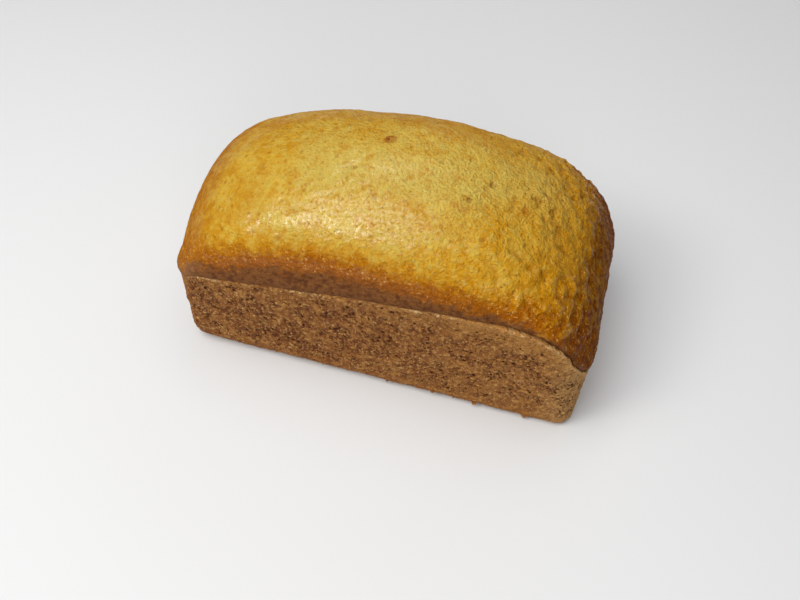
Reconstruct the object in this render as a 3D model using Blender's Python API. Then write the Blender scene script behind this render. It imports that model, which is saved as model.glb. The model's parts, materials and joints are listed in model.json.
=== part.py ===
"""Banana bread: one whole loaf, baked in a tin and turned out, as a single solid.

The loaf lies along X, its long sides face -Y and +Y, and it stands on its flat base at z = 0.
A rounded box of crumb carries the shape of the tin up to the ledge, the wavy line where the batter
rose clear of the tin. Above the ledge the crust goes on as a steep band and closes in a dome.
"""

import math

import bmesh
import bpy
from mathutils import Vector, noise

# The part that the tin shaped, in metres.
BASE_LENGTH = 0.2015
BASE_WIDTH = 0.102
RIM_LENGTH = 0.203
RIM_WIDTH = 0.1082
BASE_CORNER = 0.0095
RIM_CORNER = 0.0185
FOOT_ROUND_LEFT = 0.0092
FOOT_ROUND_RIGHT = 0.0042

# The ledge: highest at LEDGE_PEAK_X, falling slowly to the left end and fast to the right end.
# It drops a little more at both ends, most at the front corners and not at the back ones.
LEDGE_PEAK = 0.0697
LEDGE_PEAK_X = 0.040
LEDGE_LEFT_FALL = 0.0168
LEDGE_LEFT_POWER = 1.35
LEDGE_RIGHT_FALL = 0.0255
LEDGE_RIGHT_POWER = 4.2
LEDGE_END_DROP = 0.007
LEDGE_END_START_X = 0.084
LEDGE_END_FRONT_Y = -0.020
LEDGE_END_BACK_Y = 0.040
LEDGE_WAVE = 0.0005
LEDGE_WAVE_LENGTH = 0.026

# The crumb ends in a thin lip at the ledge, and a crevice parts it from the crust.
LIP_PROUD = 0.0002
LIP_PROUD_RIGHT = 0.0006
LIP_HEIGHT = 0.0030
LIP_FULL_DROP = 0.00075
LIP_EDGE_SHARE = 0.6
CREVICE_DEPTH = 0.0012
CREVICE_HEIGHT = 0.0011
CREVICE_FLOOR = 0.00037

# The crust starts inside the lip along the sides and hangs over it at the two ends.
CRUST_INSET = 0.0008
CRUST_OVERHANG_LEFT = 0.0012
CRUST_OVERHANG_RIGHT = 0.0010

# The dome: its crown line is highest at CROWN_X, and both ends round off over the shoulders.
CROWN_HEIGHT = 0.1134
CROWN_X = 0.0026
CROWN_FALL = 0.0275
SHOULDER_LEFT = 0.029
SHOULDER_RIGHT = 0.078
PLAN_POWER = 3.4

# Its level outlines leave the tin's shape within OVAL_SHARE of the rise and get ever more oval.
OVAL_SHARE = 0.25
OVAL_POWER_LOW = 8.0
OVAL_POWER_HIGH = 2.4

# Its cross section is close to an ellipse that swells out a little half way up.
SECTION_POWER = 2.05
SWELL = 0.0024

# Low relief of the baked surface.
BROAD_LUMP = 0.0010
BROAD_LUMP_LENGTH = 0.036
SMALL_LUMP = 0.0006
SMALL_LUMP_LENGTH = 0.014
WRINKLE = 0.0006
WRINKLE_LENGTH = 0.014
WRINKLE_START_X = 0.045
WRINKLE_FULL_X = 0.090
CRUMB_LUMP = 0.0004
CRUMB_LUMP_LENGTH = 0.010
FLAT_MARGIN = 0.006
CRUST_ONSET = 0.001
CRUST_FULL = 0.010

# A shallow trough in the crust, in front of the crown line and meeting it at the right.
TROUGH_DEPTH = 0.0014
TROUGH_HALF_WIDTH = 0.009
TROUGH_START_X = -0.050
TROUGH_END_X = 0.070
TROUGH_FADE = 0.025
TROUGH_FRONT_Y = -0.0180

# Mesh density: faces along a long side, along a short side, and rings up each stretch.
LONG_FACES = 44
SHORT_FACES = 20
FOOT_RINGS = 4
WALL_RINGS = 7
DOME_RINGS = 12
TOP_TURN = math.radians(50)
SHARP_ANGLE = math.radians(50)
HALVINGS = 40

# Rounding off of the dome's four hips, from a little above the ledge upwards.
SOFTENING_START = 0.006
SOFTENING_ROUNDS = 30
SOFTENING = 0.5

# Colour and roughness of the two zones.
CRUMB_COLOUR = (0.21, 0.080, 0.026)
CRUMB_ROUGHNESS = 0.85
CRUST_COLOUR = (0.52, 0.25, 0.040)
CRUST_ROUGHNESS = 0.55


def clear_scene():
    for obj in list(bpy.data.objects):
        bpy.data.objects.remove(obj, do_unlink=True)


def blend(start, end, amount):
    return start + (end - start) * amount


def smooth_step(value, low, high):
    amount = min(max((value - low) / (high - low), 0.0), 1.0)
    return amount * amount * (3.0 - 2.0 * amount)


def along(x):
    """0 at the left end of the rim, 1 at the right end."""
    return min(max(x / RIM_LENGTH + 0.5, 0.0), 1.0)


def square_rim():
    """Points (u, v) once round a square of half side 1, anticlockwise from its left front corner."""
    points = []
    for step in range(LONG_FACES):
        points.append((2.0 * step / LONG_FACES - 1.0, -1.0))
    for step in range(SHORT_FACES):
        points.append((1.0, 2.0 * step / SHORT_FACES - 1.0))
    for step in range(LONG_FACES):
        points.append((1.0 - 2.0 * step / LONG_FACES, 1.0))
    for step in range(SHORT_FACES):
        points.append((-1.0, 1.0 - 2.0 * step / SHORT_FACES))
    return points


def rounded_rectangle(u, v, length, width, corner):
    """Where the ray towards (u, v) of the square meets a rounded rectangle."""
    half_x = length / 2.0
    half_y = width / 2.0
    ray_x = abs(u) * half_x
    ray_y = abs(v) * half_y
    centre_x = half_x - corner
    centre_y = half_y - corner
    scale = 1.0
    if ray_x > centre_x and ray_y > centre_y:
        square = ray_x * ray_x + ray_y * ray_y
        middle = ray_x * centre_x + ray_y * centre_y
        constant = centre_x * centre_x + centre_y * centre_y - corner * corner
        scale = (middle + math.sqrt(middle * middle - square * constant)) / square
    return math.copysign(ray_x * scale, u), math.copysign(ray_y * scale, v)


def ledge_height(x, y):
    """Height of the ledge above the base, with a slight waver that differs from front to back."""
    half = RIM_LENGTH / 2.0
    left = max(0.0, (LEDGE_PEAK_X - x) / (half + LEDGE_PEAK_X))
    right = max(0.0, (x - LEDGE_PEAK_X) / (half - LEDGE_PEAK_X))
    fall = LEDGE_LEFT_FALL * left**LEDGE_LEFT_POWER + LEDGE_RIGHT_FALL * right**LEDGE_RIGHT_POWER
    end_drop = LEDGE_END_DROP * smooth_step(abs(x), LEDGE_END_START_X, half)
    end_drop *= 1.0 - smooth_step(y, LEDGE_END_FRONT_Y, LEDGE_END_BACK_Y)
    waver = noise.noise(Vector((x, y, 0.0)) / LEDGE_WAVE_LENGTH)
    return LEDGE_PEAK - fall - end_drop + LEDGE_WAVE * waver


def wall_point(u, v, up, outward):
    """Point of the tin-shaped wall, at the fraction up of the ledge's height, moved outward."""
    length = blend(BASE_LENGTH, RIM_LENGTH, up) + 2.0 * outward
    width = blend(BASE_WIDTH, RIM_WIDTH, up) + 2.0 * outward
    corner = blend(BASE_CORNER, RIM_CORNER, up) + outward
    return rounded_rectangle(u, v, length, width, corner)


def foot_ring(rim, turn):
    """One ring of the rounded bottom edge; turn runs from 0, under the loaf, to a quarter turn."""
    ring = []
    for u, v in rim:
        radius = blend(FOOT_ROUND_LEFT, FOOT_ROUND_RIGHT, (u + 1.0) / 2.0)
        z = radius * (1.0 - math.cos(turn))
        x, y = wall_point(u, v, z / LEDGE_PEAK, -radius * (1.0 - math.sin(turn)))
        ring.append(Vector((x, y, z)))
    return ring


def wall_ring(rim, up):
    """One ring of the wall between the rounded foot and the lip."""
    ring = []
    for u, v in rim:
        x, y = wall_point(u, v, up, 0.0)
        foot = blend(FOOT_ROUND_LEFT, FOOT_ROUND_RIGHT, along(x))
        z = blend(foot, ledge_height(x, y) - LIP_HEIGHT, up)
        ring.append(Vector((x, y, z)))
    return ring


def ledge_ring(rim, rise, outward_share, inward):
    """One ring of the lip and crevice: rise above the ledge, outward as a share of the lip."""
    ring = []
    for u, v in rim:
        x, y = wall_point(u, v, 1.0, 0.0)
        proud = blend(LIP_PROUD, LIP_PROUD_RIGHT, smooth_step(x, 0.0, RIM_LENGTH / 2.0))
        x, y = wall_point(u, v, 1.0, proud * outward_share - inward)
        ring.append(Vector((x, y, ledge_height(x, y) + rise)))
    return ring


def crown_line(x):
    return CROWN_HEIGHT - CROWN_FALL * ((x - CROWN_X) / (RIM_LENGTH / 2.0)) ** 2


def rise_share(turn):
    """How far the crust has risen from the ledge to the crown line when it has turned in by turn."""
    return math.sin(turn) ** (2.0 / SECTION_POWER)


def dome_outline(turn):
    """The level outline of the dome: middle along X, half length, half width and how far it rose."""
    share = rise_share(turn)
    swell = SWELL * math.sin(math.pi * share)
    drawn_in = 1.0 - math.cos(turn) ** (2.0 / PLAN_POWER)
    left = RIM_LENGTH / 2.0 + CRUST_OVERHANG_LEFT - SHOULDER_LEFT * drawn_in + swell
    right = RIM_LENGTH / 2.0 + CRUST_OVERHANG_RIGHT - SHOULDER_RIGHT * drawn_in + swell
    across = (RIM_WIDTH / 2.0 - CRUST_INSET) * math.cos(turn) ** (2.0 / SECTION_POWER) + swell
    return (right - left) / 2.0, (left + right) / 2.0, across, share


def dome_plan(u, v, turn):
    """Where the ray towards (u, v) meets the outline, which goes from the tin's shape to an oval."""
    middle, half_x, half_y, share = dome_outline(turn)
    power = blend(OVAL_POWER_LOW, OVAL_POWER_HIGH, share)
    scale = (abs(u) ** power + abs(v) ** power) ** (-1.0 / power)
    x, y = rounded_rectangle(u, v, 2.0 * half_x, 2.0 * half_y, RIM_CORNER)
    oval = smooth_step(share, 0.0, OVAL_SHARE)
    return middle + blend(x, u * half_x * scale, oval), blend(y, v * half_y * scale, oval)


def is_inside(x, y, turn):
    """Whether (x, y) lies within the dome's level outline at this turn."""
    middle, half_x, half_y, _ = dome_outline(turn)
    u = (x - middle) / half_x
    v = y / half_y
    reach = max(abs(u), abs(v))
    if reach == 0.0:
        return True
    edge_x, edge_y = dome_plan(u / reach, v / reach, turn)
    return math.hypot(x - middle, y) <= math.hypot(edge_x - middle, edge_y)


def turn_at(x, y):
    """The turn whose outline passes over (x, y), by repeated halving."""
    low = TOP_TURN / 2.0
    high = math.pi / 2.0
    for _ in range(HALVINGS):
        turn = (low + high) / 2.0
        if is_inside(x, y, turn):
            low = turn
        else:
            high = turn
    return low


def dome_height(u, v, x, turn):
    """Height over the plan place x, for the stretch of crust that starts at (u, v) of the rim."""
    rim_x, rim_y = dome_plan(u, v, 0.0)
    start = ledge_height(rim_x, rim_y) + CREVICE_HEIGHT
    return blend(start, crown_line(x), rise_share(turn))


def dome_ring(rim, turn):
    ring = []
    for u, v in rim:
        x, y = dome_plan(u, v, turn)
        ring.append(Vector((x, y, dome_height(u, v, x, turn))))
    return ring


def top_point(u, v):
    """Point of the crust inside the last ring, for (u, v) within the square."""
    reach = max(abs(u), abs(v))
    rim_u, rim_v = (u / reach, v / reach) if reach > 0.0 else (1.0, 0.0)
    middle = dome_outline(TOP_TURN)[0]
    edge_x, edge_y = dome_plan(rim_u, rim_v, TOP_TURN)
    x = blend(middle, edge_x, reach)
    y = edge_y * reach
    return Vector((x, y, dome_height(rim_u, rim_v, x, turn_at(x, y))))


def add_ring(mesh, points):
    return [mesh.verts.new(point) for point in points]


def bridge(mesh, lower, upper):
    """Faces between two rings of equal count, lower first, both anticlockwise from above."""
    count = len(lower)
    for index in range(count):
        after = (index + 1) % count
        mesh.faces.new((lower[index], lower[after], upper[after], upper[index]))


def close_top(mesh, edge_ring):
    """Fills the last ring with a grid of faces that follows the square's rows and columns."""
    rows = [[None] * (LONG_FACES + 1) for _ in range(SHORT_FACES + 1)]
    for index, vertex in enumerate(edge_ring):
        if index < LONG_FACES:
            rows[0][index] = vertex
        elif index < LONG_FACES + SHORT_FACES:
            rows[index - LONG_FACES][LONG_FACES] = vertex
        elif index < 2 * LONG_FACES + SHORT_FACES:
            rows[SHORT_FACES][2 * LONG_FACES + SHORT_FACES - index] = vertex
        else:
            rows[2 * (LONG_FACES + SHORT_FACES) - index][0] = vertex
    for row in range(1, SHORT_FACES):
        for column in range(1, LONG_FACES):
            u = 2.0 * column / LONG_FACES - 1.0
            v = 2.0 * row / SHORT_FACES - 1.0
            rows[row][column] = mesh.verts.new(top_point(u, v))
    for row in range(SHORT_FACES):
        for column in range(LONG_FACES):
            mesh.faces.new((
                rows[row][column],
                rows[row][column + 1],
                rows[row + 1][column + 1],
                rows[row + 1][column],
            ))


def trough_depth(x, y):
    """The trough's floor line starts in front of the crown line and drifts to it at the right."""
    inside = smooth_step(x, TROUGH_START_X, TROUGH_START_X + TROUGH_FADE)
    inside *= 1.0 - smooth_step(x, TROUGH_END_X - TROUGH_FADE, TROUGH_END_X)
    line_y = TROUGH_FRONT_Y * (1.0 - smooth_step(x, 0.0, TROUGH_END_X))
    across = (y - line_y) / TROUGH_HALF_WIDTH
    return TROUGH_DEPTH * inside * math.exp(-across * across)


def crust_relief(point):
    """Lumps of the baked crust, with wrinkles at the right end and the trough on top."""
    broad = BROAD_LUMP * noise.noise(point / BROAD_LUMP_LENGTH)
    small = SMALL_LUMP * noise.noise(point / SMALL_LUMP_LENGTH)
    right_end = smooth_step(point.x, WRINKLE_START_X, WRINKLE_FULL_X)
    wrinkle = WRINKLE * right_end * noise.noise(point / WRINKLE_LENGTH)
    return broad + small + wrinkle - trough_depth(point.x, point.y)


def crumb_relief(point):
    """Unevenness of the tin side, none at the very base."""
    above_base = smooth_step(point.z, 0.0, FLAT_MARGIN)
    return CRUMB_LUMP * above_base * noise.noise(point / CRUMB_LUMP_LENGTH)


def soften_hips(mesh):
    """Evens out the dome, so that its front, back and ends run into one another."""
    dome = []
    for vertex in mesh.verts:
        if vertex.co.z > ledge_height(vertex.co.x, vertex.co.y) + SOFTENING_START:
            dome.append(vertex)
    for _ in range(SOFTENING_ROUNDS):
        bmesh.ops.smooth_vert(
            mesh, verts=dome, factor=SOFTENING, use_axis_x=True, use_axis_y=True, use_axis_z=True
        )


def roughen(mesh):
    """Moves every point of the surface along its normal by the relief of its own zone."""
    mesh.normal_update()
    moves = []
    for vertex in mesh.verts:
        above = vertex.co.z - ledge_height(vertex.co.x, vertex.co.y)
        crust = smooth_step(above, CRUST_ONSET, CRUST_FULL)
        relief = blend(crumb_relief(vertex.co), crust_relief(vertex.co), crust)
        moves.append(vertex.normal * relief)
    for vertex, move in zip(mesh.verts, moves):
        vertex.co += move
        vertex.co.z = max(vertex.co.z, 0.0)


def centre_on_base(mesh):
    """Puts the origin under the middle of the loaf's own box."""
    low_x = min(vertex.co.x for vertex in mesh.verts)
    high_x = max(vertex.co.x for vertex in mesh.verts)
    low_y = min(vertex.co.y for vertex in mesh.verts)
    high_y = max(vertex.co.y for vertex in mesh.verts)
    shift = Vector(((low_x + high_x) / 2.0, (low_y + high_y) / 2.0, 0.0))
    for vertex in mesh.verts:
        vertex.co -= shift


def make_material(name, colour, roughness):
    material = bpy.data.materials.new(name)
    material.use_nodes = True
    shader = material.node_tree.nodes["Principled BSDF"]
    shader.inputs["Base Color"].default_value = (*colour, 1.0)
    shader.inputs["Roughness"].default_value = roughness
    shader.inputs["Metallic"].default_value = 0.0
    return material


def colour_faces(mesh):
    """The crumb below the ledge takes the first material, the crust above it the second."""
    for face in mesh.faces:
        middle = face.calc_center_median()
        face.material_index = int(middle.z > ledge_height(middle.x, middle.y))


def build_loaf():
    rim = square_rim()
    mesh = bmesh.new()
    rings = []
    for step in range(FOOT_RINGS):
        rings.append(foot_ring(rim, math.pi / 2.0 * step / (FOOT_RINGS - 1)))
    for step in range(1, WALL_RINGS + 1):
        rings.append(wall_ring(rim, step / WALL_RINGS))
    rings.append(ledge_ring(rim, -LIP_FULL_DROP, 1.0, 0.0))
    rings.append(ledge_ring(rim, 0.0, LIP_EDGE_SHARE, 0.0))
    rings.append(ledge_ring(rim, CREVICE_FLOOR, 0.0, CREVICE_DEPTH))
    for step in range(DOME_RINGS + 1):
        rings.append(dome_ring(rim, TOP_TURN * step / DOME_RINGS))
    loops = [add_ring(mesh, ring) for ring in rings]
    for lower, upper in zip(loops, loops[1:]):
        bridge(mesh, lower, upper)
    close_top(mesh, loops[-1])
    mesh.faces.new(list(reversed(loops[0])))
    soften_hips(mesh)
    roughen(mesh)
    colour_faces(mesh)
    centre_on_base(mesh)
    data = bpy.data.meshes.new("banana_loaf")
    mesh.to_mesh(data)
    mesh.free()
    data.shade_smooth()
    data.set_sharp_from_angle(angle=SHARP_ANGLE)
    loaf = bpy.data.objects.new("banana_loaf", data)
    loaf.data.materials.append(make_material("tin_side_crumb", CRUMB_COLOUR, CRUMB_ROUGHNESS))
    loaf.data.materials.append(make_material("golden_crust", CRUST_COLOUR, CRUST_ROUGHNESS))
    bpy.context.scene.collection.objects.link(loaf)
    return loaf


clear_scene()
build_loaf()
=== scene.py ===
import json
import math
import random

import bmesh
import bpy
import numpy as np
from mathutils import Matrix, Vector, kdtree, noise

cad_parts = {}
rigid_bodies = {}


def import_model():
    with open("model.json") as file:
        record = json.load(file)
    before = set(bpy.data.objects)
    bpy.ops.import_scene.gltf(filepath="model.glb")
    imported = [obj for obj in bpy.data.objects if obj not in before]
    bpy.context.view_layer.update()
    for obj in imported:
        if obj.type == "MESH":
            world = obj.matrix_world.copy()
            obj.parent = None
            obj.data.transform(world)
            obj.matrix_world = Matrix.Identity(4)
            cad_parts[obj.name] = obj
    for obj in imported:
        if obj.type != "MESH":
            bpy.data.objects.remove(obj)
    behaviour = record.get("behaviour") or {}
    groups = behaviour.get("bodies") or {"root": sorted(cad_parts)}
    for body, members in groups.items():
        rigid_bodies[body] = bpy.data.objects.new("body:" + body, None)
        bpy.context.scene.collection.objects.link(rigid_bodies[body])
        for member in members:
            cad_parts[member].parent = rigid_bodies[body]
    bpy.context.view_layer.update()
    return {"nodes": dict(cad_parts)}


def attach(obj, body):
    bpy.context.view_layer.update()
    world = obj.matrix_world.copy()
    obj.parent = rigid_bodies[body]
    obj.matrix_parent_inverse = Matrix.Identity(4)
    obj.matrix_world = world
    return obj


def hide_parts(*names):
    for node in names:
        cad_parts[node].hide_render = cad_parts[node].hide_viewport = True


# lengths are in millimetres in the dictionaries of the pieces and in metres on the meshes
mm = 0.001
weldDistance = 0.01
smoothAngle = 60.0

for leftover in list(bpy.data.objects):
    bpy.data.objects.remove(leftover, do_unlink=True)

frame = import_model()
cadLoaf = frame["nodes"]["banana_loaf"]


def smoothStep(value, low, high):
    amount = np.clip((value - low) / (high - low), 0.0, 1.0)
    return amount * amount * (3.0 - 2.0 * amount)


def fadeOut(value, low, high):
    return 1.0 - smoothStep(value, low, high)


def bell(value, centre, halfWidth):
    return np.exp(-((value - centre) / halfWidth) ** 2)


def rising(pair, share):
    # the first value, and as much of the second as the share says
    return pair[0] + pair[1] * share


def makeActive(piece):
    bpy.ops.object.select_all(action="DESELECT")
    piece.select_set(True)
    bpy.context.view_layer.objects.active = piece


def copyOf(source, name):
    makeActive(source)
    bpy.ops.object.duplicate()
    piece = bpy.context.active_object
    piece.name = name
    piece.data.name = name
    piece.parent = None
    piece.data.materials.clear()
    for key in list(piece.keys()):
        del piece[key]
    return piece


def deleteFaces(piece, wanted):
    # deletes the faces for which wanted(middle, normal) holds
    # it stays in edit mode, with the open rim selected
    makeActive(piece)
    bpy.ops.object.mode_set(mode="EDIT")
    bpy.ops.mesh.select_mode(type="FACE")
    bpy.ops.mesh.select_all(action="DESELECT")
    mesh = bmesh.from_edit_mesh(piece.data)
    for face in mesh.faces:
        face.select_set(bool(wanted(face.calc_center_median(), face.normal)))
    bmesh.update_edit_mesh(piece.data)
    bpy.ops.mesh.delete(type="FACE")
    bpy.ops.mesh.select_mode(type="EDGE")
    bpy.ops.mesh.select_all(action="DESELECT")
    bpy.ops.mesh.select_non_manifold()


def extendRim(drop, shrink):
    # carries the open rim down and in
    bpy.ops.mesh.extrude_edges_move(TRANSFORM_OT_translate={"value": (0.0, 0.0, -drop * mm)})
    bpy.ops.transform.resize(value=(shrink[0], shrink[1], 1.0), center_override=(0.0, 0.0, 0.0))


def closeRim():
    bpy.ops.mesh.edge_face_add()
    bpy.ops.mesh.select_all(action="SELECT")
    bpy.ops.mesh.normals_make_consistent(inside=False)
    bpy.ops.object.mode_set(mode="OBJECT")


def applyModifier(piece, kind, settings):
    makeActive(piece)
    modifier = piece.modifiers.new(kind.lower(), kind)
    for key, value in settings.items():
        setattr(modifier, key, value)
    bpy.ops.object.modifier_apply(modifier=modifier.name)


def gridAnew(piece, grid, smoothing):
    # an even grid of small faces, smoothed so that no steps of the grid show
    applyModifier(piece, "REMESH", {"mode": "VOXEL", "voxel_size": grid * mm})
    applyModifier(piece, "SMOOTH", {"factor": 0.5, "iterations": smoothing})


def shadeSmooth(piece):
    makeActive(piece)
    bpy.ops.object.shade_smooth_by_angle(angle=math.radians(smoothAngle))


def pointsOf(piece):
    places = np.empty(len(piece.data.vertices) * 3, np.float32)
    piece.data.vertices.foreach_get("co", places)
    return places.reshape(-1, 3).astype(float)


def normalsOf(piece):
    normals = np.empty(len(piece.data.vertices) * 3, np.float32)
    piece.data.vertex_normals.foreach_get("vector", normals)
    return normals.reshape(-1, 3).astype(float)


def movePoints(piece, places):
    piece.data.vertices.foreach_set("co", places.astype(np.float32).ravel())
    piece.data.update()


def paint(piece, name, values):
    # one number per point, which the finish reads by name
    layer = piece.data.attributes.new(name, "FLOAT", "POINT")
    layer.data.foreach_set("value", np.asarray(values, np.float32))


def lumps(places, size, shift=0.0, octaves=0):
    # smooth noise between about -1 and 1, with features about size millimetres across
    # the shift makes one pattern differ from another, and octaves add finer and lower features
    scaled = places / (size * mm) + shift
    dimension = 1.0
    lacunarity = 2.0
    if octaves:
        return np.array([noise.fractal(Vector(place), dimension, lacunarity, octaves) for place in scaled])
    return np.array([noise.noise(Vector(place)) for place in scaled])


def packedGrains(places, size):
    # grains about size millimetres across: distance from the nearest middle, and from a border
    scaled = places / (size * mm)
    found = np.array([noise.voronoi(Vector(place))[0][:2] for place in scaled])
    return found[:, 0], found[:, 1] - found[:, 0]


def searchTree(places):
    tree = kdtree.KDTree(len(places))
    for index, place in enumerate(places):
        tree.insert(Vector(place), index)
    tree.balance()
    return tree


# pits and spots are drawn in a little and have an uneven edge
spotEdge = {
    "drawnIn": 1.05,
    "waver": 0.50,
    "waverSize": 1.4,
}


def addSpot(field, tree, place, radius, strength):
    # strongest in the middle, and kept where it is more than what the field holds
    for near, index, distance in tree.find_range(Vector(place), radius * mm):
        waver = spotEdge["waver"] * noise.noise(near / (spotEdge["waverSize"] * mm))
        share = distance / (radius * mm) * (spotEdge["drawnIn"] + waver)
        field[index] = max(field[index], strength * max(0.0, 1.0 - share * share) ** 2)


# the ledge, where the batter rose clear of the tin: it peaks right of the middle and falls to both ends
ledge = {
    "peak": 69.7,
    "peakX": 40.0,
    "leftFall": 16.8,
    "leftPower": 1.35,
    "rightFall": 25.5,
    "rightPower": 4.2,
    "halfLength": 101.5,
    "endDrop": 7.0,              # a further fall round the two front corners
    "endStart": 84.0,
    "endFront": -20.0,
    "endBack": 40.0,
    "waver": 0.5,
    "waverSize": 26.0,
}


def ledgeHeights(places):
    x = places[:, 0] / mm
    left = np.maximum(0.0, (ledge["peakX"] - x) / (ledge["halfLength"] + ledge["peakX"]))
    right = np.maximum(0.0, (x - ledge["peakX"]) / (ledge["halfLength"] - ledge["peakX"]))
    fall = ledge["leftFall"] * left ** ledge["leftPower"]
    fall += ledge["rightFall"] * right ** ledge["rightPower"]
    corner = smoothStep(np.abs(x), ledge["endStart"], ledge["halfLength"])
    corner *= fadeOut(places[:, 1] / mm, ledge["endFront"], ledge["endBack"])
    onPlan = places * np.array((1.0, 1.0, 0.0))
    waver = ledge["waver"] * lumps(onPlan, ledge["waverSize"])
    return ledge["peak"] - fall - ledge["endDrop"] * corner + waver


def aboveLedge(middle):
    place = np.array([tuple(middle)])
    return middle.z / mm - ledgeHeights(place)[0]


# one welded copy of the loaf, which the crust and the tin side both start from
welded = copyOf(cadLoaf, "welded")
makeActive(welded)
bpy.ops.object.mode_set(mode="EDIT")
bpy.ops.mesh.select_all(action="SELECT")
bpy.ops.mesh.remove_doubles(threshold=weldDistance * mm)
bpy.ops.object.mode_set(mode="OBJECT")
print("loaf welded:", len(welded.data.vertices), "points")


# a pair whose name ends in X, Y, Z or Rise says from where to where something comes in or fades out:
# along the loaf, across it, above the floor or above the ledge
# a pattern is the size of its features, its shift and its octaves
crustForm = {
    "cutAbove": 0.45,            # just over the bottom of the crevice
    "rootDrop": 3.0,             # the crust goes on into the crumb, out of sight
    "rootShrink": (0.972, 0.95),
    "rootInset": (0.99, 0.98),
    "rootEnd": 40.0,             # height of the flat end of that root
    "rootEndSlack": 0.4,         # faces up to this far over it that look down belong to it
    "rootEndNormal": -0.7,
    "grid": 0.805,
    "smoothing": 10,
    "skinRise": (0.5, 3.0),
    "domeRise": (8.0, 20.0),
    "roughX": (20.0, 75.0),      # smooth at the left, wrinkled at the right
    # heights of the fine skin, and what the rough end adds to them
    "grain": (2.0, 3.0, 3),
    "grainHeight": (0.17, 0.06),
    "peel": (3.4, 11.0),
    "peelHeight": (0.12, 0.10),
    "swell": (9.0, 71.0),
    "swellHeight": 0.24,
    # wrinkles and dents of the rough end, drawn out across and upwards
    "stretch": (1.0, 0.80, 0.70),
    "wrinkles": (5.6, 61.0, 3),
    "wrinkleHeight": 0.85,
    "dents": (3.6, 21.0),
    "dentRange": (0.10, 0.60),
    "dentDepth": 0.90,
    # coarse knobs low on the right of the crust
    "knobs": (4.6, 41.0, 2),
    "knobHeight": 1.3,
    "knobBell": (11.0, 10.0),    # height above the ledge and half width
    "knobX": (38.0, 74.0),
    "knobEndX": (88.0, 98.0),
    "knobEndLoss": 0.75,
    "knobTopLitRange": (-0.05, 0.40),  # painted as a lit knob top, a painted highlight, and as painted shade in the gap between two
    "knobGapShadeRange": (0.10, 0.50),
    "knobGapShadeStrength": 0.8,
    # along the front and left the crust starts flush with the crumb, at the right it stands back
    "flush": 0.85,
    "flushX": (34.0, 62.0),
    "flushStartRise": (-0.4, 0.4),
    "flushEndRise": (1.0, 10.0),
    "standBack": 0.45,
    "standBackX": (46.0, 66.0),
    "standBackRise": (0.5, 5.0),
    "leftDrawnIn": 0.6,          # the left end is drawn in to meet the wall
    "leftDrawnInX": (90.0, 100.0),
    "leftDrawnInRise": (1.0, 7.0),
    # small pits: least size and what chance adds, and how much deeper they get at the rough end
    "pits": 700,
    "pitSeed": 5,
    "pitRadius": (0.8, 1.1),
    "pitDepth": (0.12, 0.30),
    "pitRough": (0.7, 1.1),
    "pitsAbove": 4.0,
    "pitFull": 0.6,              # depth at which a pit's painted shade is full
    # place on the plan, radius and depth of the dimples that stand out
    "dimples": (
        (41.6, -5.4, 2.6, 0.9),
        (17.8, -4.2, 2.0, 0.5),
        (-18.0, -15.3, 2.2, 0.5),
        (33.9, -19.1, 2.4, 0.7),
        (60.0, -2.0, 2.4, 0.8),
        (53.0, -22.0, 2.0, 0.6),
    ),
    "dimplesAbove": 15.0,
    # place on the plan, radius and strength of the spots that browned more than the rest
    "brownSpots": (
        (-6.5, 2.9, 4.2, 1.6),
        (-21.0, 18.2, 3.6, 0.7),
        (-62.0, -17.0, 3.0, 0.35),
        (-45.5, -20.0, 3.4, 0.35),
        (-5.6, -28.0, 3.0, 0.4),
        (32.0, -24.0, 4.6, 0.5),
        (-44.0, -46.5, 2.6, 0.4),
        (58.0, -12.0, 4.0, 0.5),
    ),
    "spotsAbove": 12.0,
    # the dark band over the ledge is widest left of the middle
    "bandWidestX": -28.0,
    "bandLeast": 2.6,
    "bandSwell": 9.6,
    "bandSpread": (55.0, 62.0),  # to the left and to the right
    "bandWaver": (9.0, 31.0),
    "bandWaverHeight": 2.2,
    "bandFray": (4.0, 33.0, 2),
    "bandFrayHeight": 2.4,
    # the pale trough starts in front of the crown and drifts to it at the right
    "troughY": -18.0,
    "troughX": (0.0, 70.0),
    "paleBell": (4.0, 17.0),     # distance behind the trough and half width
    "paleStartX": (-62.0, -26.0),
    "paleEndX": (60.0, 88.0),
    "palePatches": (14.0, 51.0),
    "palePatchStrength": 0.30,
    # and a second pale streak runs along the front, a painted highlight under the sheen
    "sheenStreakStrength": 0.55,
    "sheenStreakBell": (31.0, 7.0),
    "sheenStreakStartX": (-80.0, -50.0),
    "sheenStreakEndX": (5.0, 45.0),
    # browned more at the left rear and along the back
    "brownedLeftX": (38.0, 78.0),
    "brownedLeftY": (-12.0, 18.0),
    "brownedBackY": (12.0, 30.0),
    "brownedBack": 0.8,
    "leftEndX": (74.0, 98.0),
    # the right end is painted darker, partly real browning and partly painted shade
    "rightEndX": (81.0, 94.0),
    "rightEndWaver": (6.0, 81.0),
    "rightEndReach": 2.5,
}


def makeCrust():
    form = crustForm
    piece = copyOf(welded, "crust")
    deleteFaces(piece, lambda middle, normal: aboveLedge(middle) < form["cutAbove"])
    extendRim(form["rootDrop"], form["rootShrink"])
    extendRim(0.0, form["rootInset"])
    bpy.ops.transform.resize(value=(1.0, 1.0, 0.0), center_override=(0.0, 0.0, form["rootEnd"] * mm))
    closeRim()
    gridAnew(piece, form["grid"], form["smoothing"])
    # the flat end of the root needs no grid of its own, so one face takes its place
    highest = (form["rootEnd"] + form["rootEndSlack"]) * mm
    deleteFaces(piece, lambda middle, normal: middle.z < highest and normal.z < form["rootEndNormal"])
    bpy.ops.mesh.edge_face_add()
    bpy.ops.object.mode_set(mode="OBJECT")
    return piece


def onDome(x, y, rise, spot, lowest):
    # index of the point of the dome that stands over a spot of the plan
    miss = (x - spot[0]) ** 2 + (y - spot[1]) ** 2
    return np.argmin(np.where(rise < lowest, np.inf, miss))


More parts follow.
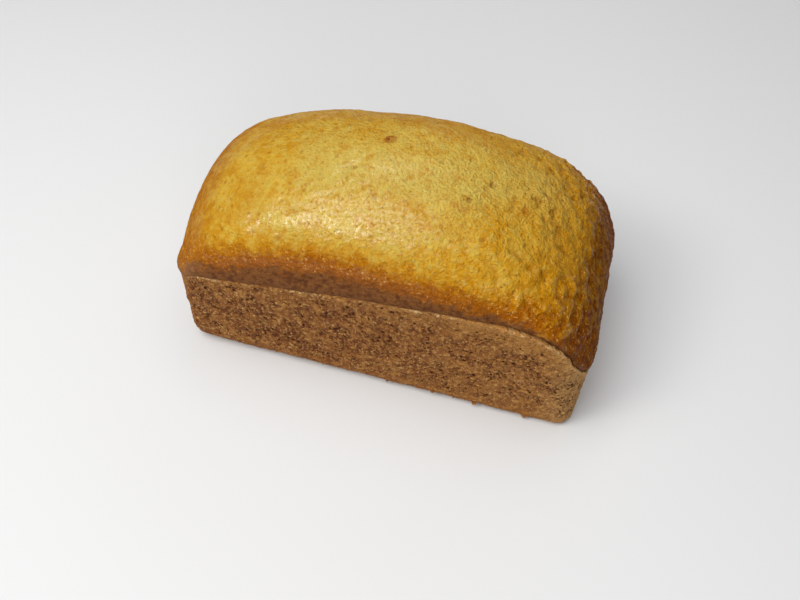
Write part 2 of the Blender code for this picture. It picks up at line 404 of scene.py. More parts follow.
def bandTop(x):
    form = crustForm
    spread = np.where(x < form["bandWidestX"], *form["bandSpread"])
    return form["bandLeast"] + form["bandSwell"] * bell(x, form["bandWidestX"], spread)


def crustPits(places, x, y, rise, rough):
    form = crustForm
    pits = np.zeros(len(places))
    tree = searchTree(places)
    for dimple in form["dimples"]:
        index = onDome(x, y, rise, dimple, form["dimplesAbove"])
        addSpot(pits, tree, places[index], *dimple[2:])
    rng = random.Random(form["pitSeed"])
    onSkin = np.flatnonzero(rise > form["pitsAbove"])
    for _ in range(form["pits"]):
        index = onSkin[rng.randrange(len(onSkin))]
        radius = rising(form["pitRadius"], rng.random() ** 2)
        depth = rising(form["pitDepth"], rng.random()) * rising(form["pitRough"], rough[index])
        addSpot(pits, tree, places[index], radius, depth)
    brown = np.zeros(len(places))
    for spot in form["brownSpots"]:
        index = onDome(x, y, rise, spot, form["spotsAbove"])
        addSpot(brown, tree, places[index], *spot[2:])
    return pits, brown


def roughenCrust(piece):
    form = crustForm
    places = pointsOf(piece)
    normals = normalsOf(piece)
    x, y, z = places.T / mm
    rise = z - ledgeHeights(places)
    skin = smoothStep(rise, *form["skinRise"])
    dome = smoothStep(rise, *form["domeRise"])
    rough = smoothStep(x, *form["roughX"])
    relief = skin * rising(form["grainHeight"], rough) * lumps(places, *form["grain"])
    relief += skin * rising(form["peelHeight"], rough) * lumps(places, *form["peel"])
    relief += form["swellHeight"] * lumps(places, *form["swell"]) * dome
    stretched = places * np.array(form["stretch"])
    relief += rough * dome * form["wrinkleHeight"] * lumps(stretched, *form["wrinkles"])
    dent = smoothStep(lumps(stretched, *form["dents"]), *form["dentRange"]) * rough * dome
    knob = lumps(places, *form["knobs"])
    knobby = bell(rise, *form["knobBell"]) * smoothStep(x, *form["knobX"])
    knobby *= 1.0 - form["knobEndLoss"] * smoothStep(x, *form["knobEndX"])
    relief += form["knobHeight"] * knob * knobby - form["dentDepth"] * dent
    back = smoothStep(x, *form["standBackX"]) * fadeOut(rise, *form["standBackRise"])
    relief -= form["standBack"] * back
    drawnIn = smoothStep(-x, *form["leftDrawnInX"]) * fadeOut(rise, *form["leftDrawnInRise"])
    relief -= form["leftDrawnIn"] * drawnIn
    flush = fadeOut(x, *form["flushX"]) * fadeOut(rise, *form["flushEndRise"])
    flush *= smoothStep(rise, *form["flushStartRise"])
    relief += form["flush"] * flush
    pits, brown = crustPits(places, x, y, rise, rough)
    movePoints(piece, places + normals * ((relief - pits) * mm)[:, None])
    # what the finish reads: zones of colour, and where pits, dents and knobs are, for painted shade in
    # pits, dents and knob gaps and a painted highlight on knob tops
    edge = form["bandWaverHeight"] * lumps(places, *form["bandWaver"])
    edge += form["bandFrayHeight"] * lumps(places, *form["bandFray"])
    behindTrough = y - form["troughY"] * fadeOut(x, *form["troughX"])
    pale = bell(behindTrough, *form["paleBell"]) * dome
    pale *= smoothStep(x, *form["paleStartX"]) * fadeOut(x, *form["paleEndX"])
    # painted highlight along the front, under the sheen
    sheenStreak = form["sheenStreakStrength"] * bell(rise, *form["sheenStreakBell"])
    sheenStreak *= smoothStep(x, *form["sheenStreakStartX"]) * fadeOut(x, *form["sheenStreakEndX"])
    patches = form["palePatchStrength"] * lumps(places, *form["palePatches"]) * dome
    brownedLeft = smoothStep(-x, *form["brownedLeftX"]) * smoothStep(y, *form["brownedLeftY"])
    brownedBack = form["brownedBack"] * smoothStep(y, *form["brownedBackY"])
    # painted shade in the gaps between knobs, carried in the dent mask
    knobGapShade = form["knobGapShadeStrength"] * knobby * smoothStep(-knob, *form["knobGapShadeRange"])
    reach = form["rightEndReach"] * lumps(places, *form["rightEndWaver"])
    paint(piece, "overBand", rise - bandTop(x) + edge)
    paint(piece, "pale", np.clip(pale + sheenStreak + patches, 0.0, 1.0))
    paint(piece, "pit", np.clip(pits / form["pitFull"], 0.0, 1.0))
    paint(piece, "dent", np.maximum(dent, knobGapShade))
    paint(piece, "brown", np.clip(brown, 0.0, 1.0))
    paint(piece, "knob", knobby * smoothStep(knob, *form["knobTopLitRange"]))
    paint(piece, "browned", np.maximum(brownedLeft, brownedBack) * (1.0 - rough))
    paint(piece, "rough", rough)
    paint(piece, "leftEnd", smoothStep(-x, *form["leftEndX"]))
    paint(piece, "rightEnd", smoothStep(x + reach, *form["rightEndX"]))
    shadeSmooth(piece)


crust = makeCrust()
roughenCrust(crust)
print("crust made:", len(crust.data.polygons), "faces")


# the tin side is open crumb with pores, shut near the foot and along the lip, and finer at the right
crumbForm = {
    "capDrop": 0.4,              # it closes in a flat cap under the crust
    "capShrink": (0.965, 0.93),
    "grid": 0.51,
    "smoothing": 6,
    # faces under the crust and on the base are out of sight, and only this share of them is kept
    "hiddenKept": 0.12,
    "capHalf": (97.0, 48.5),
    "capAbove": 30.0,
    "baseBelow": 0.6,
    "baseNormal": -0.95,
    "footZ": (0.3, 3.0),
    "openZ": (4.0, 14.0),
    "finer": 0.55,
    "finerX": (5.0, 50.0),
    "finerRise": (-14.0, -5.0),
    "lipShut": 0.8,
    "lipShutRise": (-2.5, -1.0),
    "coarse": (5.5, 5.0, 2),
    "coarseHeight": 0.36,
    "fine": (1.8, 9.0, 2),
    "fineHeight": 0.24,
    # grains of crumb with gaps between them, wide in some patches and shut in others
    "grainSize": 2.3,
    "grainWaver": (0.5, 0.5, -0.5),
    "grainHeight": 0.20,
    "gapRange": (0.04, 0.26),
    "gapDepth": 0.38,
    "gapLeast": 0.25,
    "patches": (6.0, 17.0, 2),
    "patchRange": (-0.45, 0.35),
    # the left end wall comes out to meet the crust
    "leftOut": 0.9,
    "leftOutX": (92.0, 101.0),
    "leftOutRise": (-28.0, -3.0),
    # crumbs stand a little proud along the lip
    "lipBell": (-0.6, 1.0),
    "lipCrumbs": (3.0, 15.0, 2),
    "lipHeight": 0.45,
    "lipLevel": 0.25,
    # number tried, smallest and largest radius, and depth: large pores, then small ones
    "pores": (
        (3600, 0.65, 1.20, 0.95),
        (8000, 0.50, 0.70, 0.50),
    ),
    "poreSeed": 11,
    "poreLeast": 0.22,           # share of the pores that stay where the crumb is shut
    "poreDepth": (0.45, 0.55),   # share of the depth, and what chance adds to it
    "poreOpen": (0.5, 0.5),      # and what an open crumb adds
    # many pores are two that ran together: when, how large the second is, and how far off in radii
    "twinFrom": 0.1,
    "twinSize": 0.8,
    "twinApart": 0.9,
    "twinRise": 0.6,
    "poreBase": 0.35,            # on the base the pores are shallow
    "poreBaseBelow": 1.0,
    "poreFull": 0.8,             # depth at which a pore is painted in full
}


def makeCrumb():
    form = crumbForm
    piece = copyOf(welded, "tinSide")
    deleteFaces(piece, lambda middle, normal: aboveLedge(middle) >= crustForm["cutAbove"])
    extendRim(form["capDrop"], form["capShrink"])
    closeRim()
    gridAnew(piece, form["grid"], form["smoothing"])
    return piece


def crumbPores(places, outer, loose, openness):
    form = crumbForm
    pores = np.zeros(len(places))
    tree = searchTree(places)
    rng = random.Random(form["poreSeed"])
    for count, smallest, largest, deepest in form["pores"]:
        for _ in range(count):
            index = outer[rng.randrange(len(outer))]
            chance = rng.random()
            share = rng.random()
            side = rng.uniform(-1.0, 1.0)
            if chance > form["poreLeast"] + (1.0 - form["poreLeast"]) * loose[index]:
                continue
            radius = smallest + (largest - smallest) * share * share
            depth = deepest * rising(form["poreDepth"], rng.random())
            depth *= rising(form["poreOpen"], openness[index])
            place = Vector(places[index])
            addSpot(pores, tree, place, radius, depth)
            if side > form["twinFrom"]:
                towards = Vector((side, 0.0, form["twinRise"] - side))
                beside = place + towards * radius * form["twinApart"] * mm
                addSpot(pores, tree, beside, radius * form["twinSize"], depth * form["twinSize"])
    return pores


def roughenCrumb(piece):
    form = crumbForm
    places = pointsOf(piece)
    normals = normalsOf(piece)
    x, y, z = places.T / mm
    rise = z - ledgeHeights(places)
    foot = smoothStep(z, *form["footZ"])
    halfLength, halfWidth = form["capHalf"]
    underCrust = (np.abs(x) < halfLength) & (np.abs(y) < halfWidth) & (z > form["capAbove"])
    finer = form["finer"] * smoothStep(x, *form["finerX"]) * smoothStep(rise, *form["finerRise"])
    openness = smoothStep(z, *form["openZ"]) * (1.0 - finer)
    openness *= 1.0 - form["lipShut"] * smoothStep(rise, *form["lipShutRise"])
    loose = openness * smoothStep(lumps(places, *form["patches"]), *form["patchRange"])
    coarse = lumps(places, *form["coarse"])
    fine = lumps(places, *form["fine"])
    wavering = places + fine[:, None] * mm * np.array(form["grainWaver"])
    middle, border = packedGrains(wavering, form["grainSize"])
    gap = fadeOut(border, *form["gapRange"]) * (form["gapLeast"] + (1.0 - form["gapLeast"]) * loose)
    relief = form["coarseHeight"] * coarse + form["fineHeight"] * fine
    relief -= form["grainHeight"] * middle + form["gapDepth"] * gap
    relief *= foot
    relief += form["leftOut"] * smoothStep(-x, *form["leftOutX"]) * smoothStep(rise, *form["leftOutRise"])
    lip = bell(rise, *form["lipBell"])
    relief += form["lipHeight"] * lip * (lumps(places, *form["lipCrumbs"]) - form["lipLevel"]) * foot
    pores = crumbPores(places, np.flatnonzero(~underCrust), loose, openness)
    pores *= np.where(z < form["poreBaseBelow"], form["poreBase"], 1.0)
    moved = places + normals * ((relief - pores) * mm)[:, None]
    moved[:, 2] = np.maximum(moved[:, 2], 0.0)
    movePoints(piece, moved)
    paint(piece, "rise", rise)
    paint(piece, "pore", np.clip(pores / form["poreFull"], 0.0, 1.0))
    paint(piece, "gap", gap)
    paint(piece, "loose", loose)
    paint(piece, "lip", lip)
    onBase = (z < form["baseBelow"]) & (normals[:, 2] < form["baseNormal"])
    thinOut(piece, np.flatnonzero(underCrust | onBase), form["hiddenKept"])


def thinOut(piece, points, kept):
    # fewer faces round these points, the rest as they are
    group = piece.vertex_groups.new(name="fewer")
    group.add([int(index) for index in points], 1.0, "REPLACE")
    share = len(points) / len(piece.data.vertices)
    ratio = 1.0 - share * (1.0 - kept)
    applyModifier(piece, "DECIMATE", {"ratio": ratio, "vertex_group": "fewer", "vertex_group_factor": 1.0})


def halfOf(piece, name, direction):
    # halved, as one mesh for the whole tin side would be too heavy
    half = copyOf(piece, name)
    makeActive(half)
    bpy.ops.object.mode_set(mode="EDIT")
    bpy.ops.mesh.select_all(action="SELECT")
    bpy.ops.mesh.bisect(
        plane_co=(0.0, 0.0, 0.0),
        plane_no=(0.0, direction, 0.0),
        use_fill=True,
        clear_outer=True,
    )
    bpy.ops.object.mode_set(mode="OBJECT")
    half.vertex_groups.clear()
    shadeSmooth(half)
    return half


crumb = makeCrumb()
roughenCrumb(crumb)
print("tin side made:", len(crumb.data.polygons), "faces")
frontSide = halfOf(crumb, "tinSideFront", 1.0)
backSide = halfOf(crumb, "tinSideBack", -1.0)
for helper in (crumb, welded):
    bpy.data.objects.remove(helper, do_unlink=True)
print("tin side halved:", len(frontSide.data.polygons), len(backSide.data.polygons))


# loose crumbs that cling to the front, along the foot and on two stretches of the lip
crumbsForm = {
    "alongFoot": 7,
    "onLip": 16,
    "seed": 23,
    "radius": (0.35, 0.95),
    "squash": (0.6, 0.9),
    "footX": (-96.0, 98.0),
    "footZ": (0.2, 1.8),
    "lipX": ((-97.0, -40.0), (56.0, 84.0)),
    "lipRise": (-0.6, 0.5),
    "lipSize": 0.8,              # those on the lip are smaller
    "wallY": -54.0,              # about where the front wall is
    "searchY": -60.0,            # and in front of it, from where each looks for its nearest point
    # shares of the radius
    "proud": 0.35,
    "lowest": 0.75,
    "length": 1.25,
    "lumpSize": 1.2,
    "lumpHeight": 0.35,
    "shiftStep": 7.0,            # so that no two have the same lumps
    "paintedRise": -16.0,        # the crumbs take the finish of the tin side this far under the ledge
    "paintedLoose": 0.4,
}


def addCrumb(place, radius, squash, shift):
    form = crumbsForm
    middle = place + Vector((0.0, -form["proud"] * radius * mm, 0.0))
    middle.z = max(middle.z, form["lowest"] * radius * mm)
    bpy.ops.object.select_all(action="DESELECT")
    bpy.ops.mesh.primitive_ico_sphere_add(subdivisions=3, radius=radius * mm, location=middle)
    bpy.ops.transform.resize(value=(form["length"], 1.0, squash), center_override=middle)
    bpy.ops.object.transform_apply(location=True, rotation=True, scale=True)
    grain = bpy.context.active_object
    places = pointsOf(grain)
    bulge = form["lumpHeight"] * radius * mm * lumps(places, form["lumpSize"] * radius, shift, 2)
    movePoints(grain, places + normalsOf(grain) * bulge[:, None])
    return grain


def makeCrumbs():
    form = crumbsForm
    rng = random.Random(form["seed"])
    tree = searchTree(pointsOf(frontSide))
    low, high = form["radius"]
    grains = []
    for number in range(form["alongFoot"] + form["onLip"]):
        radius = low + (high - low) * rng.random() ** 2
        squash = rng.uniform(*form["squash"])
        x = rng.uniform(*form["footX"])
        z = rng.uniform(*form["footZ"])
        if number >= form["alongFoot"]:
            x = rng.uniform(*form["lipX"][number % 2])
            onWall = np.array([(x * mm, form["wallY"] * mm, 0.0)])
            z = ledgeHeights(onWall)[0] + rng.uniform(*form["lipRise"])
            radius *= form["lipSize"]
        near = Vector(tree.find(Vector((x, form["searchY"], z)) * mm)[0])
        grains.append(addCrumb(near, radius, squash, form["shiftStep"] * number))
    makeActive(grains[0])
    for grain in grains:
        grain.select_set(True)
    bpy.ops.object.join()
    piece = bpy.context.active_object
    piece.name = "crumbs"
    piece.data.name = "crumbs"
    count = len(piece.data.vertices)
    paint(piece, "rise", np.full(count, form["paintedRise"]))
    paint(piece, "loose", np.full(count, form["paintedLoose"]))
    shadeSmooth(piece)
    return piece


crumbs = makeCrumbs()
print("crumbs made:", len(crumbs.data.polygons), "faces")


def tint(red, green, blue):
    # a colour as seen on screen, turned into light values
    return tuple((value / 255.0) ** 2.2 for value in (red, green, blue)) + (1.0,)


class Wire:
    # an output of a node; sums, differences and products with it add Math nodes
    def __init__(self, finish, socket):
        self.finish = finish
        self.socket = socket

    def maths(self, operation, first, second):
        return self.finish.node("Math", {"operation": operation}, {0: first, 1: second})

    def __add__(self, other):
        return self.maths("ADD", self, other)

    def __radd__(self, other):
        return self.maths("ADD", other, self)

    def __sub__(self, other):
        return self.maths("SUBTRACT", self, other)

    def __rsub__(self, other):
        return self.maths("SUBTRACT", other, self)

    def __mul__(self, other):
        return self.maths("MULTIPLY", self, other)

    def __rmul__(self, other):
        return self.maths("MULTIPLY", other, self)

    def ramp(self, low, high, start=0.0, end=1.0):
        # goes smoothly from start to end as this goes from low to high
        settings = {"interpolation_type": "SMOOTHSTEP"}
        return self.finish.node("MapRange", settings, {0: self, 1: low, 2: high, 3: start, 4: end})


class Finish:
    def __init__(self, name, fixed):
        self.material = bpy.data.materials.new(name)
        self.material.use_nodes = True
        self.tree = self.material.node_tree
        self.shader = self.tree.nodes["Principled BSDF"]
        for socketName, value in fixed.items():
            self.shader.inputs[socketName].default_value = value

    def node(self, kind, settings, inputs, output=0):
        made = self.tree.nodes.new("ShaderNode" + kind)
        for key, value in settings.items():
            setattr(made, key, value)
        for key, value in inputs.items():
            self.plug(value, made.inputs[key])
        return Wire(self, made.outputs[output])

    def plug(self, value, socket):
        if isinstance(value, Wire):
            self.tree.links.new(value.socket, socket)
        else:
            socket.default_value = value

    def send(self, socketName, value):
        self.plug(value, self.shader.inputs[socketName])

    def place(self):
        return self.node("TexCoord", {}, {}, "Object")

    def along(self, axis):
        # millimetres along X, Y or Z
        return self.node("SeparateXYZ", {}, {0: self.place()}, axis) * (1.0 / mm)

    def painted(self, name):
        return self.node("Attribute", {"attribute_name": name}, {}, "Fac")

    def grain(self, size, detail, roughness):
        scale = 1.0 / (size * mm)
        inputs = {"Vector": self.place(), "Scale": scale, "Detail": detail, "Roughness": roughness}
        return self.node("TexNoise", {}, inputs, "Fac")

    def cells(self, size):
        scale = 1.0 / (size * mm)
        return self.node("TexVoronoi", {}, {"Vector": self.place(), "Scale": scale}, "Distance")

    def mix(self, amount, first, second):
        # inputs 6 and 7 are the two colours, and output 2 is the mixed one
        return self.node("Mix", {"data_type": "RGBA"}, {0: amount, 6: first, 7: second}, 2)

    def layered(self, look, base, layers, masks):
        # lays each tone over the ones before it, by its mask and strength
        colour = look[base]
        for mask, strength, tone in layers:
            colour = self.mix(masks[mask] * strength, colour, look[tone])
        return colour

    def bump(self, height, distance):
        return self.node("Bump", {}, {"Height": height, "Distance": distance * mm}, "Normal")


# a pattern is the size of its features in millimetres, its detail and its roughness
# a range is where a pattern starts to show and where it is full, then both amounts if not 0 and 1
# patterns and masks follow under the names that the layers use
crustLook = {
    "gold": tint(224, 178, 62),
    "deepGold": tint(210, 150, 28),
    "orange": tint(198, 129, 10),
    "cream": tint(218, 192, 94),
    "amber": tint(158, 86, 8),
    "burntAndShaded": tint(114, 56, 2),
    "rust": tint(150, 70, 16),
    "ochre": tint(172, 108, 22),
    "recessShade": tint(136, 78, 14),
    "cocoa": tint(134, 87, 50),
    "darkCocoa": tint(106, 64, 38),
    "litCocoa": tint(176, 126, 86),
    "glintCream": tint(232, 178, 92),
    # what lies over the gold, from the lowest layer up: mask, strength and tone
    "layers": (
        ("patches", 0.70, "deepGold"),
        ("blotches", 0.60, "deepGold"),
        # the pale trough, and along the front a painted highlight under the sheen
        ("pale", 0.80, "cream"),
        ("blotches", 0.16, "deepGold"),
        ("paleMottle", 0.45, "cream"),
        ("darkMottle", 0.45, "orange"),
        ("paleSpeckle", 0.30, "cream"),
        ("browned", 0.60, "deepGold"),
        ("brownedBlotches", 0.50, "orange"),
        ("wrinkled", 0.36, "orange"),
        ("upperRim", 1.0, "orange"),
        ("lowerRim", 0.95, "amber"),
        # painted highlight: knob tops lightened towards deep gold
        ("knob", 0.60, "deepGold"),
        ("leftBlotches", 1.0, "orange"),
        ("leftMottle", 1.0, "amber"),
        # darker right end: real browning with painted shade where the light falls off
        ("rightShadeMottle", 1.0, "burntAndShaded"),
        ("darkSpeckle", 0.30, "amber"),
        ("marks", 0.45, "ochre"),
        ("brownSpots", 1.0, "rust"),
        # painted shade: dents, gaps between knobs and pits darkened
        ("dent", 0.42, "recessShade"),
        ("pits", 1.0, "recessShade"),
    ),
    # what lies over the cocoa of the band, with painted light on its left end
    "bandLayers": (
        ("bandMottle", 1.0, "darkCocoa"),
        # painted light: the band paler at the left end
        ("leftEnd", 0.50, "litCocoa"),
    ),
    # small pale flecks along the edge of the band and on the knobs are painted glints
    "glintPaint": 0.55,
    "patches": (22.0, 3.0, 0.5),
    "patchRange": (0.40, 0.60),
    "blotches": (9.0, 4.0, 0.6),
    "blotchRange": (0.45, 0.58),
    "mottle": (3.6, 3.0, 0.6),
    "paleMottle": (0.53, 0.63),
    "darkMottle": (0.47, 0.36),
    "leftMottle": (0.38, 0.62, 0.60, 0.15),
    "rightShadeMottle": (0.36, 0.62, 1.0, 0.65),
    "leftBlotches": (0.60, 0.25),    # least, and what the blotches add
    "speckle": (1.3, 3.0, 0.7),
    "paleSpeckle": (0.54, 0.68),
    "darkSpeckle": (0.44, 0.33),
    "pitRange": (0.12, 0.80),
    "pitSpeckle": (0.35, 0.62, 0.75, 0.25),
    "spotBlotches": (0.0, 0.8, 0.5, 1.0),
    "markSpacing": 5.5,
    "markSpeckle": 0.35,
    "markRange": (0.42, 0.28),
    "bandMottle": (2.6, 3.0, 0.5),
    "bandMottleRange": (0.42, 0.66),
    "glintFleckPattern": (1.5, 2.0, 0.7),
    "glintFleckRange": (0.58, 0.68),
    "glintsOnKnobs": 0.8,
    # millimetres over the band, which the speckle and the mottle fray by as much as these say
    "edgeSpeckle": 11.0,
    "edgeMottle": 9.0,
    "upperRimMottle": 8.0,
    "upperRim": (20.0, 10.0),
    "lowerRim": (23.0, 13.0),
    "bandEdge": (13.5, 8.5),
    "glintStart": (9.0, 14.0),
    "glintEnd": (26.0, 18.0),
    "glossStart": (10.0, 16.0, 0.1, 1.0),
    # a speckled sheen on the dome, strongest left of the middle
    "glossSpeckle": (0.42, 0.58, 0.1, 1.0),
    "glossWrinkled": 0.6,            # what the wrinkled and the browned crust lose of it
    "glossBrowned": 0.85,
    "glossX": (-10.0, 40.0, 1.0, 0.45),
    "knobGloss": (0.45, 0.60, 0.1, 0.9),
    "coatRoughness": 0.22,
    "roughness": (0.45, 0.15),       # least, and what the blotches add
    "skin": (1.0, 3.0, 0.7),
    "skinMottle": 0.8,
    "bubbleSpacing": 1.6,
    "bubbleDepth": 0.5,
    "bumpDistance": 1.8,
}


def crustFinish():
    look = crustLook
    fixed = {
        "IOR": 1.45,
        "Specular IOR Level": 0.02,
        "Coat Roughness": look["coatRoughness"],
        "Coat IOR": 1.5,
    }
    finish = Finish("goldenCrust", fixed)
    patches = finish.grain(*look["patches"]).ramp(*look["patchRange"])
    blotches = finish.grain(*look["blotches"]).ramp(*look["blotchRange"])
    mottle = finish.grain(*look["mottle"])
    speckle = finish.grain(*look["speckle"])
    browned = finish.painted("browned")
    rough = finish.painted("rough")
    knob = finish.painted("knob")
    leftEnd = finish.painted("leftEnd")
    rightEnd = finish.painted("rightEnd")
    overBand = finish.painted("overBand")
    edge = overBand + speckle * look["edgeSpeckle"] + mottle * look["edgeMottle"]
    marks = finish.cells(look["markSpacing"]) + speckle * look["markSpeckle"]
    pitSpeckle = speckle.ramp(*look["pitSpeckle"])
    masks = {
        "patches": patches,
        "blotches": blotches,
        "pale": finish.painted("pale"),
        "paleMottle": mottle.ramp(*look["paleMottle"]),
        "darkMottle": mottle.ramp(*look["darkMottle"]),
        "paleSpeckle": speckle.ramp(*look["paleSpeckle"]),
        "darkSpeckle": speckle.ramp(*look["darkSpeckle"]),
        "browned": browned,
        "brownedBlotches": browned * blotches,
        "wrinkled": rough * rough,
        "upperRim": (overBand + mottle * look["upperRimMottle"]).ramp(*look["upperRim"]),
        "lowerRim": edge.ramp(*look["lowerRim"]),
        "knob": knob,
        "leftEnd": leftEnd,
        "leftBlotches": leftEnd * rising(look["leftBlotches"], blotches),
        "leftMottle": leftEnd * mottle.ramp(*look["leftMottle"]),
        "rightShadeMottle": rightEnd * mottle.ramp(*look["rightShadeMottle"]),
        "marks": marks.ramp(*look["markRange"]),
        "brownSpots": finish.painted("brown") * blotches.ramp(*look["spotBlotches"]),
        "dent": finish.painted("dent"),
        "pits": finish.painted("pit").ramp(*look["pitRange"]) * pitSpeckle,
        "bandMottle": finish.grain(*look["bandMottle"]).ramp(*look["bandMottleRange"]),
    }
    colour = finish.layered(look, "gold", look["layers"], masks)
    bandColour = finish.layered(look, "cocoa", look["bandLayers"], masks)
    colour = finish.mix(edge.ramp(*look["bandEdge"]), colour, bandColour)
    # painted glints: pale flecks along the band edge and on the knobs
    glintZone = edge.ramp(*look["glintStart"]) * edge.ramp(*look["glintEnd"]) + knob * look["glintsOnKnobs"]
    glintFlecks = finish.grain(*look["glintFleckPattern"]).ramp(*look["glintFleckRange"])
    colour = finish.mix(glintFlecks * glintZone * look["glintPaint"], colour, look["glintCream"])
    finish.send("Base Color", colour)
    finish.send("Roughness", rising(look["roughness"], blotches))
    # no sheen at the ends or on the band
    gloss = speckle.ramp(*look["glossSpeckle"]) * (1.0 - leftEnd) * (1.0 - rightEnd)
    gloss = gloss * (1.0 - look["glossWrinkled"] * rough) * (1.0 - look["glossBrowned"] * browned)
    gloss = gloss * finish.along("X").ramp(*look["glossX"]) * edge.ramp(*look["glossStart"])
    finish.send("Coat Weight", gloss + knob * speckle.ramp(*look["knobGloss"]))
    bubbles = finish.cells(look["bubbleSpacing"])
    height = finish.grain(*look["skin"]) + mottle * look["skinMottle"] - bubbles * look["bubbleDepth"]
    finish.send("Normal", finish.bump(height, look["bumpDistance"]))
    return finish.material


crumbLook = {
    "brown": tint(139, 88, 46),
    "plum": tint(118, 72, 46),
    "tan": tint(172, 122, 65),
    "fleck": tint(206, 164, 106),
    "floury": tint(216, 182, 132),
    "footBrown": tint(146, 92, 46),
    "gapShade": tint(88, 48, 24),
    "poreShade": tint(72, 34, 16),
    # what lies over the brown, from the lowest layer up: mask, strength and tone
    "layers": (
        ("plumPatches", 1.0, "plum"),
        ("mottle", 0.80, "tan"),
        ("fine", 0.75, "fleck"),
        ("nuggets", 0.60, "fleck"),
        ("foot", 0.60, "footBrown"),
        ("underLedge", 1.0, "tan"),
        # painted light: the right corner lightened
        ("corner", 0.40, "fleck"),
        ("lip", 1.0, "floury"),
        # painted shade: gaps between grains, holes and pores darkened
        ("gaps", 1.0, "gapShade"),
        ("holes", 1.0, "poreShade"),
        ("pores", 0.92, "poreShade"),
    ),
    "patches": (9.0, 3.0, 0.6),
    "patchRange": (0.42, 0.60),
    "plumPatches": 0.50,
    "plumLoose": 0.25,
    "mottle": (2.6, 3.0, 0.6),
    "mottleRange": (0.48, 0.62),
    "fine": (1.1, 2.0, 0.5),
    "fineRange": (0.56, 0.70),
    "nuggetSpacing": 5.0,
    "nuggetFine": 0.5,
    "nuggetRange": (0.46, 0.34),
    "gapMottle": (0.62, 0.40, 0.35, 0.9),
    "holeSpacing": 1.6,
    "holeFine": 0.8,
    "holeRange": (0.58, 0.42),
    "holeLoose": (0.0, 0.7, 0.15, 0.8),
    "poreRange": (0.05, 0.50),
    "lip": (3.0, 3.0, 0.7),
    "lipRange": (0.46, 0.62),
    "lipStretches": (26.0, 2.0, 0.5),
    "lipStretchRange": (0.42, 0.58, 0.15, 0.85),
    "footZ": (12.0, 2.0),
    "litCornerX": (80.0, 98.0),
    # paler under the ledge, most at the right; paler towards the right and at the right corner as painted
    # light
    "ledgeRise": (-15.0, -2.0),
    "ledgePale": (0.15, 0.55),
    "rightX": (-20.0, 70.0),
    "rightPaintedLight": 0.25,
    "roughness": (0.75, 0.15),       # least, and what the mottle adds
    "holeDepth": 0.5,
    "bumpDistance": 1.2,
}


def crumbFinish():
    look = crumbLook
    finish = Finish("tinSideCrumb", {"IOR": 1.45, "Specular IOR Level": 0.15})
    patches = finish.grain(*look["patches"]).ramp(*look["patchRange"])
    mottle = finish.grain(*look["mottle"])
    fine = finish.grain(*look["fine"])
    nuggets = finish.cells(look["nuggetSpacing"]) + fine * look["nuggetFine"]
    loose = finish.painted("loose")
    holes = (finish.cells(look["holeSpacing"]) + fine * look["holeFine"]).ramp(*look["holeRange"])
    holes = holes * loose.ramp(*look["holeLoose"])
    right = finish.along("X").ramp(*look["rightX"])
    ledgePale = finish.painted("rise").ramp(*look["ledgeRise"]) * rising(look["ledgePale"], right)
    lip = finish.painted("lip") * finish.grain(*look["lip"]).ramp(*look["lipRange"])
    masks = {
        "plumPatches": patches * look["plumPatches"] + loose * look["plumLoose"],
        "mottle": mottle.ramp(*look["mottleRange"]),
        "fine": fine.ramp(*look["fineRange"]),
        "nuggets": nuggets.ramp(*look["nuggetRange"]),
        "foot": finish.along("Z").ramp(*look["footZ"]),
        # painted light: paler towards the right
        "underLedge": ledgePale + look["rightPaintedLight"] * right,
        "corner": finish.along("X").ramp(*look["litCornerX"]),
        "lip": lip * finish.grain(*look["lipStretches"]).ramp(*look["lipStretchRange"]),
        "gaps": finish.painted("gap") * mottle.ramp(*look["gapMottle"]),
        "holes": holes,
        "pores": finish.painted("pore").ramp(*look["poreRange"]),
    }
    finish.send("Base Color", finish.layered(look, "brown", look["layers"], masks))
    finish.send("Roughness", rising(look["roughness"], mottle))
    finish.send("Normal", finish.bump(fine + mottle - look["holeDepth"] * holes, look["bumpDistance"]))
    return finish.material


crustMaterial = crustFinish()
crumbMaterial = crumbFinish()
dressed = {crust: crustMaterial, frontSide: crumbMaterial, backSide: crumbMaterial, crumbs: crumbMaterial}
for piece, material in dressed.items():
    piece.data.materials.append(material)
    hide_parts("banana_loaf")
    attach(piece, "root")
print("finishes ready")


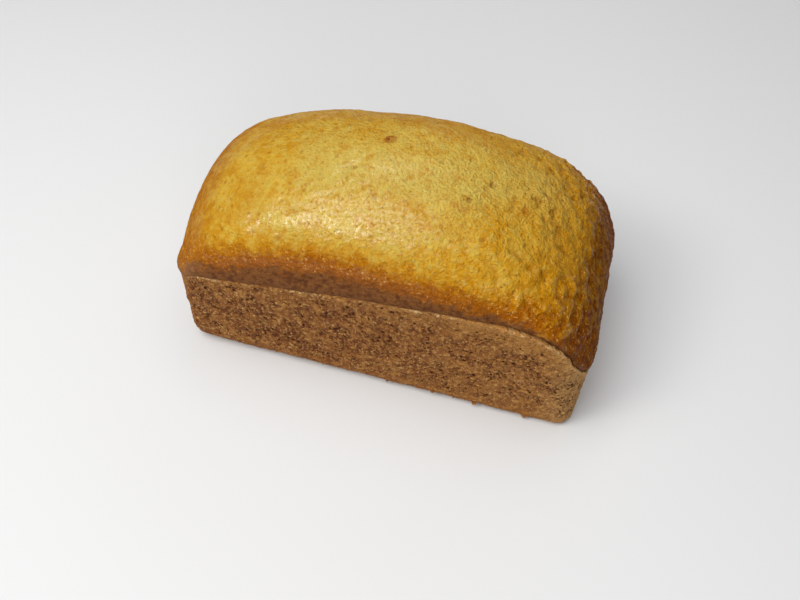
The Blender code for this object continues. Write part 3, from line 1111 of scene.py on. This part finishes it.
# the stage is in metres: a pale floor, a soft sky and five soft lamps that all point at the loaf
stage = {
    "floorSize": 6.0,
    "floorHeight": -0.0001,
    "floorTint": (0.70, 0.71, 0.72, 1.0),
    "floorRoughness": 0.7,
    "skyTint": (0.90, 0.94, 1.0, 1.0),
    "skyStrength": 0.15,
    "aim": (0.0, 0.0, 0.06),
    "lamps": {
        "window": {"place": (-0.42, -0.45, 1.12), "size": 1.00, "power": 11.5, "tint": (1.0, 0.98, 0.96)},
        "sheen": {"place": (-0.78, -0.68, 1.01), "size": 0.38, "power": 4.4, "tint": (1.0, 0.99, 0.90)},
        "ceiling": {"place": (0.02, 0.05, 1.30), "size": 1.20, "power": 5.5, "tint": (1.0, 0.98, 0.96)},
        "rear": {"place": (0.30, 1.20, 0.45), "size": 1.20, "power": 2.2, "tint": (1.0, 0.98, 0.96)},
        "front": {"place": (0.40, -1.05, 0.55), "size": 0.50, "power": 3.0, "tint": (0.98, 0.98, 1.0)},
    },
}


def layFloor():
    bpy.ops.object.select_all(action="DESELECT")
    bpy.ops.mesh.primitive_plane_add(size=stage["floorSize"], location=(0.0, 0.0, stage["floorHeight"]))
    floor = bpy.context.active_object
    floor.name = "floor"
    fixed = {"Base Color": stage["floorTint"], "Roughness": stage["floorRoughness"]}
    floor.data.materials.append(Finish("floorPaint", fixed).material)


def lightStage():
    sky = bpy.data.worlds.new("softSky")
    sky.use_nodes = True
    background = sky.node_tree.nodes["Background"]
    background.inputs["Color"].default_value = stage["skyTint"]
    background.inputs["Strength"].default_value = stage["skyStrength"]
    bpy.context.scene.world = sky
    for name, lamp in stage["lamps"].items():
        bpy.ops.object.light_add(type="AREA", location=lamp["place"])
        light = bpy.context.active_object
        light.name = name
        light.data.size = lamp["size"]
        light.data.energy = lamp["power"]
        light.data.color = lamp["tint"]
        towards = Vector(stage["aim"]) - Vector(lamp["place"])
        light.rotation_euler = towards.to_track_quat("-Z", "Y").to_euler()


cameraPlan = {
    "place": (0.06883, -0.26726, 0.33933),
    "yaw": 14.38,                # degrees
    "down": 50.38,
    "roll": 1.86,
    "lens": 35.94,
    "sensor": 36.0,
    "nearest": 0.01,
}


def aimCamera():
    plan = cameraPlan
    bpy.ops.object.camera_add(location=plan["place"])
    camera = bpy.context.active_object
    level = Matrix.Rotation(math.radians(90.0 - plan["down"]), 3, "X")
    turn = Matrix.Rotation(math.radians(plan["yaw"]), 3, "Z") @ level
    turn = turn @ Matrix.Rotation(math.radians(plan["roll"]), 3, "Z")
    camera.rotation_euler = turn.to_euler()
    camera.data.lens = plan["lens"]
    camera.data.sensor_width = plan["sensor"]
    camera.data.clip_start = plan["nearest"]
    bpy.context.scene.camera = camera


layFloor()
lightStage()
aimCamera()
bpy.context.scene.view_settings.view_transform = "Standard"
print("stage set")
